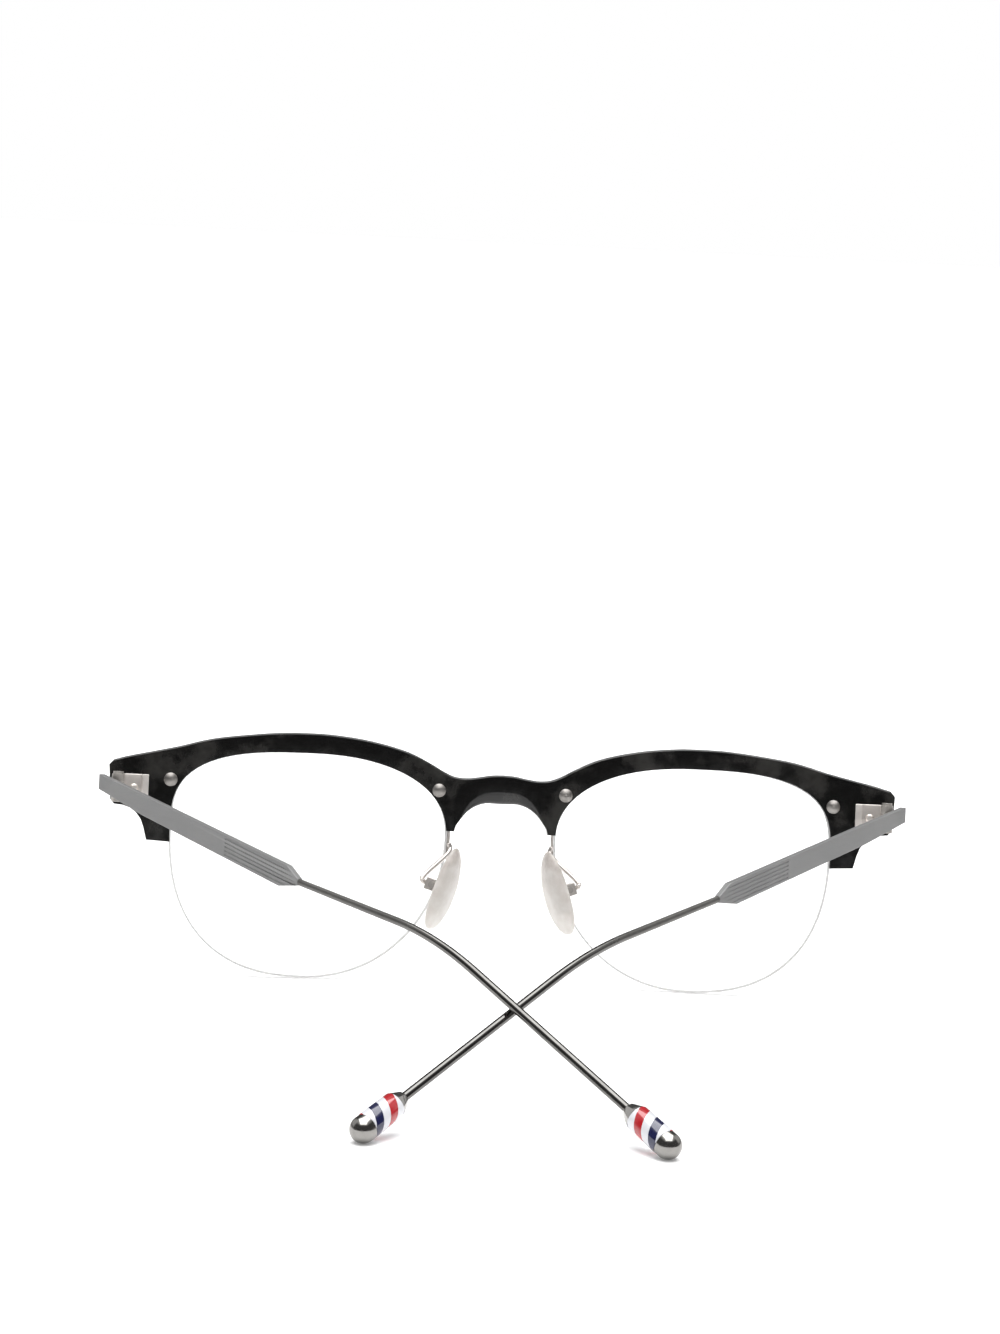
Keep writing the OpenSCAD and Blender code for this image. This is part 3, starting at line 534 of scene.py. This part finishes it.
def makeBrow():
    size = (brow["halfWidth"], brow["crest"])
    top, end, under = ([(x * size[0], y * size[1]) for x, y in brow[key]]
                       for key in ("top", "end", "under"))
    parts = [curveThrough(top, brow["curveSteps"]), end, lensArc(),
             curveThrough(under, brow["underSteps"])]
    rounds = edgeRounds(*parts)
    half = [point for part in parts for point in part]
    outline = [Vector(point) for point in half]
    outline += [Vector((-x, y)) for x, y in reversed(half[1:-1])]
    rounds += rounds[-2:0:-1]
    inward = inwardOf(outline)
    wall = brow["thickness"] / 2

    def placeOf(which, inset, depth, face):
        reach, sink = rounds[which]
        if face > 0:
            reach = sink = min(reach, brow["topRound"])
        point = outline[which] + inward[which] * reach * inset
        return point.x, face * (wall - sink * depth), point.y

    turns = [math.pi / 2 * index / brow["roundSteps"] for index in range(brow["roundSteps"] + 1)]
    rings = [(1 - math.sin(turn), 1 - math.cos(turn), -1) for turn in turns]
    rings += [(1 - math.sin(turn), 1 - math.cos(turn), 1) for turn in reversed(turns)]
    bm = ringBody(len(outline), rings, placeOf)
    cuts = int(brow["halfWidth"] / brow["bendEvery"])
    for index in range(-cuts, cuts + 1):
        cutAt = (index * brow["bendEvery"] + brow["bendShift"], 0, 0)
        bmesh.ops.bisect_plane(bm, geom=bm.verts[:] + bm.edges[:] + bm.faces[:],
                               plane_co=cutAt, plane_no=(1, 0, 0))
    for vert in bm.verts:
        radius = stance["bendRadius"] + vert.co.y
        vert.co.y = math.sqrt(radius ** 2 - vert.co.x ** 2) - stance["bendRadius"]
    putPiece("acetateBrow", bm, frontPlace, "front", acetate, ["brow_front"])


makeBrow()
print("brow made")

# Temples: hinge place, fold at rest and the wire's path, as in the part's source
temple = {
    "hinge": (70.25, -9.7617, 33.7), "fold": {"left": 42.8, "right": 44.5}, "offset": 2.0,
    "length": 137.7, "bladeSlope": 0.273, "slopeChange": 50.0,
    "wireSlope": {"left": 0.206, "right": 0.248}, "bendAt": 85.3, "bendHalf": 9.2,
    "rearSlope": {"left": 0.538161, "right": 0.501473},
    "wireFrom": 51.8, "wireTo": 137.1, "wireSteps": 64, "wireSides": 32,
    "rootRadius": 0.575, "wireRadius": 0.75, "bladeRound": 0.14, "bladeSharp": 5,
}


def templePlace(side):
    return (sidePlace(side) @ Matrix.Translation(temple["hinge"])
            @ Matrix.Rotation(radians(-temple["fold"][side]), 4, "Z"))


def templeFall(station, side):
    # How far the temple's middle has come down at a distance from the hinge
    lead, rear = temple["wireSlope"][side], temple["rearSlope"][side]
    past = station - temple["bendAt"]
    reach = temple["bendHalf"]
    part = min(max((past + reach) / (2 * reach), 0), 1)
    fall = (temple["bladeSlope"] * min(station, temple["slopeChange"])
            + lead * max(station - temple["slopeChange"], 0))
    return fall + (rear - lead) * (past if past > reach else reach * part * part)


def makeWire(side):
    span = temple["wireTo"] - temple["wireFrom"]
    stations = [temple["wireFrom"] + span * index / temple["wireSteps"]
                for index in range(temple["wireSteps"] + 1)]
    points = [Vector((temple["offset"], -station, -templeFall(station, side)))
              for station in stations]
    swellEnd = temple["bendAt"] + temple["bendHalf"]
    radii = [temple["rootRadius"] + (temple["wireRadius"] - temple["rootRadius"])
             * min(max((station - temple["wireFrom"]) / (swellEnd - temple["wireFrom"]), 0), 1)
             for station in stations]
    bm = sweep(points, radii, temple["wireSides"], Vector((1, 0, 0)))
    putPiece(side + "WireArm", bm, templePlace(side), side + "_temple", darkSteel,
             [side + "_temple_wire"])


def makeBlade(side):
    bm = softCopy(side + "_temple_blade", temple["bladeRound"])
    putPiece(side + "Blade", bm, Matrix.Identity(4), side + "_temple", satinSteel,
             [side + "_temple_blade"], own=templePlace(side), sharp=temple["bladeSharp"])


tip = {
    "radius": 2.2, "sleeve": 6.6, "collar": 2.2, "collarSmall": 1.25, "facets": 8, "skirt": 0.8,
    "bore": 0.79, "steps": 72, "edge": 0.07, "edgeShare": 0.3, "domeSteps": 16, "gap": 0.02,
}


def tipPlace(side):
    length = temple["length"]
    return (templePlace(side)
            @ Matrix.Translation((temple["offset"], -length, -templeFall(length, side)))
            @ Matrix.Rotation(radians(90) + math.atan(temple["rearSlope"][side]), 4, "X"))


def makeTip(side):
    place, body = tipPlace(side), side + "_temple"
    radius, edge, bore = tip["radius"], tip["edge"], tip["bore"]
    low = -tip["skirt"] - tip["sleeve"]
    collar = lathe([(bore, low - tip["collar"]), (tip["collarSmall"], low - tip["collar"]),
                    (radius, low - tip["gap"]), (bore, low - tip["gap"])],
                   tip["facets"], closed=True)
    roundEdges(collar, [item for item in collar.edges
                        if item.calc_face_angle(0) > radians(meshing["crispSharp"])], edge)
    putPiece(side + "Collar", collar, place, body, collarMetal, [side + "_tip_collar"])
    high = -tip["skirt"] - tip["gap"]
    corner = edge * tip["edgeShare"]
    sleeve = lathe([(bore, low), (radius - edge, low), (radius - corner, low + corner),
                    (radius, low + edge), (radius, high - edge),
                    (radius - corner, high - corner), (radius - edge, high), (bore, high)],
                   tip["steps"], closed=True)
    putPiece(side + "Sleeve", sleeve, place, body, enamel, [side + "_tip_sleeve"])
    arc = [(radius * math.cos(index * math.pi / 2 / tip["domeSteps"]),
            radius * math.sin(index * math.pi / 2 / tip["domeSteps"]))
           for index in range(tip["domeSteps"] + 1)]
    dome = lathe([(0, -tip["skirt"]), (radius - edge, -tip["skirt"]),
                  (radius, edge - tip["skirt"])] + arc, tip["steps"])
    putPiece(side + "Dome", dome, place, body, tipMetal, [side + "_tip_dome"])


for side in sides:
    makeWire(side)
    makeBlade(side)
    makeTip(side)
print("temples made")

# Nose pads: a soft drop that holds the stud's plate inside
pad = {
    "height": 15.6, "width": 7.8, "thickness": 2.6, "crown": 34, "widest": 0.42,
    "place": (10.1, -9.6, 17.6), "frontal": 17, "splay": 24, "powerUp": 2.1, "powerDown": 2.4,
    "cover": 0.05, "rim": 5, "ringSteps": 56, "heightSteps": 36, "sharp": 60,
}


def padPlace(side):
    return (sidePlace(side) @ Matrix.Translation(pad["place"])
            @ Matrix.Rotation(radians(-pad["frontal"]), 4, "Y")
            @ Matrix.Rotation(radians(pad["splay"]), 4, "Z"))


def makePad(side):
    # A ball pressed into the drop: its rim follows the outline and its inner face the crown
    bm = bmesh.new()
    bmesh.ops.create_uvsphere(bm, u_segments=pad["ringSteps"], v_segments=pad["heightSteps"],
                              radius=1, matrix=Matrix.Rotation(radians(90), 4, "Y"))
    low = pad["height"] * pad["widest"]
    for vert in bm.verts:
        depth, across, up = vert.co
        share = min(math.hypot(across, up), 1)
        if share > 0:
            across, up = across / share, up / share
        power = pad["powerUp"] if up > 0 else pad["powerDown"]
        reach = pad["height"] - low if up > 0 else low
        y = math.copysign(abs(across) ** (2 / power), across) * pad["width"] / 2 * share
        z = math.copysign(abs(up) ** (2 / power), up) * reach * share + low - pad["height"] / 2
        inner = -pad["thickness"] / 2 + (y * y + z * z) / (2 * pad["crown"])
        outer = pad["thickness"] / 2 + pad["cover"]
        rim = (1 - share ** pad["rim"]) ** 0.5
        middle = inner + (outer - inner) / 2
        x = middle + math.copysign((outer - inner) / 2 * rim, depth)
        vert.co = (x, y, z)
    putPiece(side + "SoftPad", bm, padPlace(side), side + "_pad", silicone,
             [side + "_nose_pad"], sharp=pad["sharp"])


for side in sides:
    makePad(side)
print("pads made")

# The lenses are drawn again in even rings, so that what shows through them isn't bent
glass = {
    "thickness": 1.8, "radius": 200, "centre": -199.308, "middle": 20.65, "sideSeat": 0.2,
    "topSeat": 0.7, "round": 0.36, "roundSteps": 3, "grooveWidth": 0.54, "grooveDepth": 0.27,
    "cordNasal": 22.68, "cordTemporal": 24.97, "steps": 160, "rings": 12, "first": 0.02,
    "last": 0.985, "edgeFrom": 0.98,
}


def lensRim(turn):
    # The lens's outline at an angle, from its temporal side over the top
    across, up = math.cos(turn), math.sin(turn)
    name = ("temporal" if across > 0 else "nasal") + ("Up" if up > 0 else "Down")
    power = 2 / lensShape["powers"][name]
    reach = lensShape["up"] + glass["topSeat"] if up > 0 else lensShape["down"]
    return Vector((
        math.copysign(abs(across) ** power, across) * (lensShape["halfWidth"] + glass["sideSeat"]),
        lensShape["level"] + math.copysign(abs(up) ** power, up) * reach))


def hasGroove(point):
    # The cord's groove runs where the edge is bare, below a line between the cord's two ends
    share = (point.x / lensShape["halfWidth"] + 1) / 2
    return point.y < glass["cordNasal"] + (glass["cordTemporal"] - glass["cordNasal"]) * share


def makeLens(side, own):
    # Rings from the middle of the back over the edge, with its groove, to the middle of the front
    rim = [lensRim(2 * math.pi * index / glass["steps"]) for index in range(glass["steps"])]
    half, soft, groove = glass["thickness"] / 2, glass["round"], glass["grooveWidth"] / 2
    shares = ([glass["first"]] + [index / glass["rings"] for index in range(1, glass["rings"])]
              + [glass["last"]])
    turns = [math.pi / 2 * index / glass["roundSteps"] for index in range(glass["roundSteps"] + 1)]
    profile = [(share, soft, half, 0) for share in shares]
    profile += [(1, soft * (1 - math.sin(turn)), half - soft * (1 - math.cos(turn)), 0)
                for turn in turns]
    profile += [(1, 0, groove, 0), (1, 0, groove, glass["grooveDepth"])]
    rings = [(share, inset, -depth, sink) for share, inset, depth, sink in profile]
    middle = Vector((0, glass["middle"]))

    def placeOf(which, share, inset, depth, sink):
        lean = rim[(which + 1) % len(rim)] - rim[which - 1]
        inward = Vector((-lean.y, lean.x)).normalized()
        deep = inset + (sink if hasGroove(rim[which]) else 0)
        reach = (rim[which] + inward * deep - middle) * share
        radius = glass["radius"] + depth
        height = math.sqrt(radius ** 2 - reach.length_squared)
        return reach.x, glass["centre"] + height, reach.y + middle.y

    bm = ringBody(len(rim), rings + profile[::-1], placeOf)
    bmesh.ops.remove_doubles(bm, verts=bm.verts, dist=meshing["drawnMerge"])
    piece = putPiece(side + "ClearLens", bm, own, "front", lensGlass, [side + "_lens"],
                     sharp=meshing["crispSharp"])
    # The edge is ground: all faces that lean away from the lens's curve
    piece.data.materials.append(lensEdgeGlass)
    centre = own @ Vector((0, glass["centre"], middle.y))
    for face in piece.data.polygons:
        depth = (face.center - centre).normalized()
        face.material_index = 1 if abs(face.normal.dot(depth)) < glass["edgeFrom"] else 0


# How wide the outer edges of each fitting are rounded; 0 leaves them as packed
fittingRound = {
    "brow_rivets": 0, "lens_cord": 0, "rim_bar": 0.08, "pad_arm": 0, "pad_box": 0.08,
    "pad_screw": 0.05, "pad_stud": 0.08, "hinge_plate": 0.08, "hinge_screw": 0.06,
    "hinge_leaf": 0.08,
}


def dressNode(side, kind, name, body, material, own):
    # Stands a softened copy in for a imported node
    node = side + "_" + kind if side else kind
    return putPiece(side + name, softCopy(node, fittingRound[kind]), Matrix.Identity(4), body,
                    material, [node], own=own, sharp=meshing["crispSharp"])


# The plate is pale, its raised bar and rivet get a near-white copy of the metal as a painted
# highlight, and its knuckles stay darker as painted shade
plate = {"middle": 68.22, "front": -2.85, "knucklesFrom": 1.6}


def dressPlate(side):
    own = sidePlace(side) @ bendPlace(plate["middle"])
    piece = dressNode(side, "hinge_plate", "HingePlate", "front", plateSilver, own)
    piece.data.materials.append(paintedHighlightSilver)
    piece.data.materials.append(silver)
    for face in piece.data.polygons:
        centre = own.inverted() @ face.center
        # On the plate's front side the bar and rivet take the painted highlight, and the knuckles
        # take the darker silver as painted shade
        if centre.y < plate["front"]:
            face.material_index = 2 if centre.x > plate["knucklesFrom"] else 1


dressNode("", "brow_rivets", "rivetHeads", "front", rivetSilver, frontPlace)
for side in sides:
    here = sidePlace(side)
    lensOwn = here @ bendPlace(lensShape["centre"])
    makeLens(side, lensOwn)
    dressNode(side, "lens_cord", "NylonCord", "front", nylon, lensOwn)
    dressNode(side, "rim_bar", "RimBar", "front", paleSilver, lensOwn)
    dressNode(side, "pad_arm", "PadArm", "front", paleSilver, here)
    dressNode(side, "pad_box", "PadBox", "front", paleSilver, padPlace(side))
    dressNode(side, "pad_screw", "PadScrew", "front", silver, padPlace(side))
    dressNode(side, "pad_stud", "PadStud", side + "_pad", silver, padPlace(side))
    dressPlate(side)
    dressNode(side, "hinge_screw", "HingeScrew", "front", silver, here)
    dressNode(side, "hinge_leaf", "HingeLeaf", side + "_temple", silver, templePlace(side))
print("fittings made")

# Stage, light and camera: floor size in metres, then the strength of each part of the light
stage = {
    "floorSize": 16, "floorColour": (0.9, 0.9, 0.9, 1), "floorRough": 0.8, "floorGlow": 0.2,
    "dark": 0.12, "horizon": 0.9, "panel": 0.75, "box": 4.7, "top": 0.5, "seen": 1.0,
}
# Where each part of the light starts and is full, as shares of the sky's directions
lampEdge = {
    "boxWide": (0.55, 0.47), "boxLong": (0.67, 0.59), "boxUp": (0.3, 0.4), "boxBack": 0.08,
    "top": (0.66, 0.78), "panelWide": (0.42, 0.58), "panelAhead": (-0.08, 0.08),
    "panelUp": (0.12, 0.3), "horizonUp": (0.12, 0.06), "horizonAhead": (-0.2, 0.1),
    "leastUp": 0.02,
}


def makeFloor():
    bm = bmesh.new()
    bmesh.ops.create_grid(bm, x_segments=1, y_segments=1, size=stage["floorSize"] / 2)
    mesh = bpy.data.meshes.new("paleFloor")
    bm.to_mesh(mesh)
    bm.free()
    floor = bpy.data.objects.new("paleFloor", mesh)
    bpy.context.scene.collection.objects.link(floor)
    material = startMaterial(
        "palePaper", Base_Color=stage["floorColour"], Roughness=stage["floorRough"],
        Emission_Color=(1, 1, 1, 1), Emission_Strength=stage["floorGlow"])[0]
    mesh.materials.append(material)


def makeStudio():
    # A square lamp in a grey ceiling, pale panels on both sides, a pale horizon ahead, and dark
    # elsewhere; the camera itself sees plain white
    world = bpy.data.worlds.new("softStudio")
    bpy.context.scene.world = world
    world.use_nodes = True
    tree = world.node_tree
    tree.nodes.clear()
    parts = addNode(tree, "ShaderNodeSeparateXYZ", {
        0: tree.nodes.new("ShaderNodeTexCoord").outputs["Generated"]})
    across, ahead, up = (parts.outputs[index] for index in range(3))

    def ramp(value, name):
        low, high = lampEdge[name]
        return addNode(tree, "ShaderNodeMapRange", {
            "Value": value, "From Min": low, "From Max": high, "To Min": 0.0, "To Max": 1.0},
            interpolation_type="SMOOTHSTEP").outputs[0]

    def times(first, second):
        return addMath(tree, "MULTIPLY", first, second)

    high = addMath(tree, "MAXIMUM", up, lampEdge["leastUp"])
    wide = addMath(tree, "ABSOLUTE", across)
    along = addMath(tree, "ADD", addMath(tree, "DIVIDE", ahead, high), lampEdge["boxBack"])
    inBox = times(ramp(addMath(tree, "DIVIDE", wide, high), "boxWide"),
                  ramp(addMath(tree, "ABSOLUTE", along), "boxLong"))
    inBox = times(inBox, ramp(up, "boxUp"))
    onTop = times(ramp(up, "top"), stage["top"])
    inPanel = times(times(ramp(wide, "panelWide"), ramp(ahead, "panelAhead")), ramp(up, "panelUp"))
    atHorizon = times(ramp(up, "horizonUp"), ramp(ahead, "horizonAhead"))
    glow = addMath(tree, "ADD", times(inPanel, stage["panel"]), times(atHorizon, stage["horizon"]))
    strength = addMath(tree, "ADD", addMath(tree, "MAXIMUM", glow, onTop), stage["dark"])
    strength = addMath(tree, "ADD", strength, times(inBox, stage["box"]))
    studio = addNode(tree, "ShaderNodeBackground", {"Color": (1, 1, 1, 1), "Strength": strength})
    plain = addNode(tree, "ShaderNodeBackground", {
        "Color": (1, 1, 1, 1), "Strength": stage["seen"]})
    path = tree.nodes.new("ShaderNodeLightPath")
    mix = addNode(tree, "ShaderNodeMixShader", {
        0: path.outputs["Is Camera Ray"], 1: studio.outputs[0], 2: plain.outputs[0]})
    output = tree.nodes.new("ShaderNodeOutputWorld")
    tree.links.new(mix.outputs[0], output.inputs["Surface"])


# The place is in millimetres, the angles are in radians and the clip distances in metres
cameraView = {"place": (-33.850, -573.617, 146.527), "yaw": 0.051004, "pitch": 0.138216,
              "roll": 0.050583, "lens": 93.66, "sensor": 36, "clip": (0.01, 50)}


def makeCamera():
    yaw, pitch, roll = (cameraView[key] for key in ("yaw", "pitch", "roll"))
    ahead = Vector((math.sin(yaw) * math.cos(pitch), math.cos(yaw) * math.cos(pitch),
                    -math.sin(pitch)))
    right = Vector((math.cos(yaw), -math.sin(yaw), 0))
    up = right.cross(ahead)
    tilted = math.cos(roll) * right + math.sin(roll) * up
    upright = math.cos(roll) * up - math.sin(roll) * right
    data = bpy.data.cameras.new("photoCamera")
    data.lens = cameraView["lens"]
    data.sensor_width = cameraView["sensor"]
    data.clip_start, data.clip_end = cameraView["clip"]
    camera = bpy.data.objects.new("photoCamera", data)
    turn = Matrix((tilted, upright, -ahead)).transposed().to_4x4()
    camera.matrix_world = Matrix.Translation(Vector(cameraView["place"]) * metre) @ turn
    bpy.context.scene.collection.objects.link(camera)
    bpy.context.scene.camera = camera


makeFloor()
makeStudio()
makeCamera()
bpy.context.scene.view_settings.view_transform = "Standard"
print("stage made")
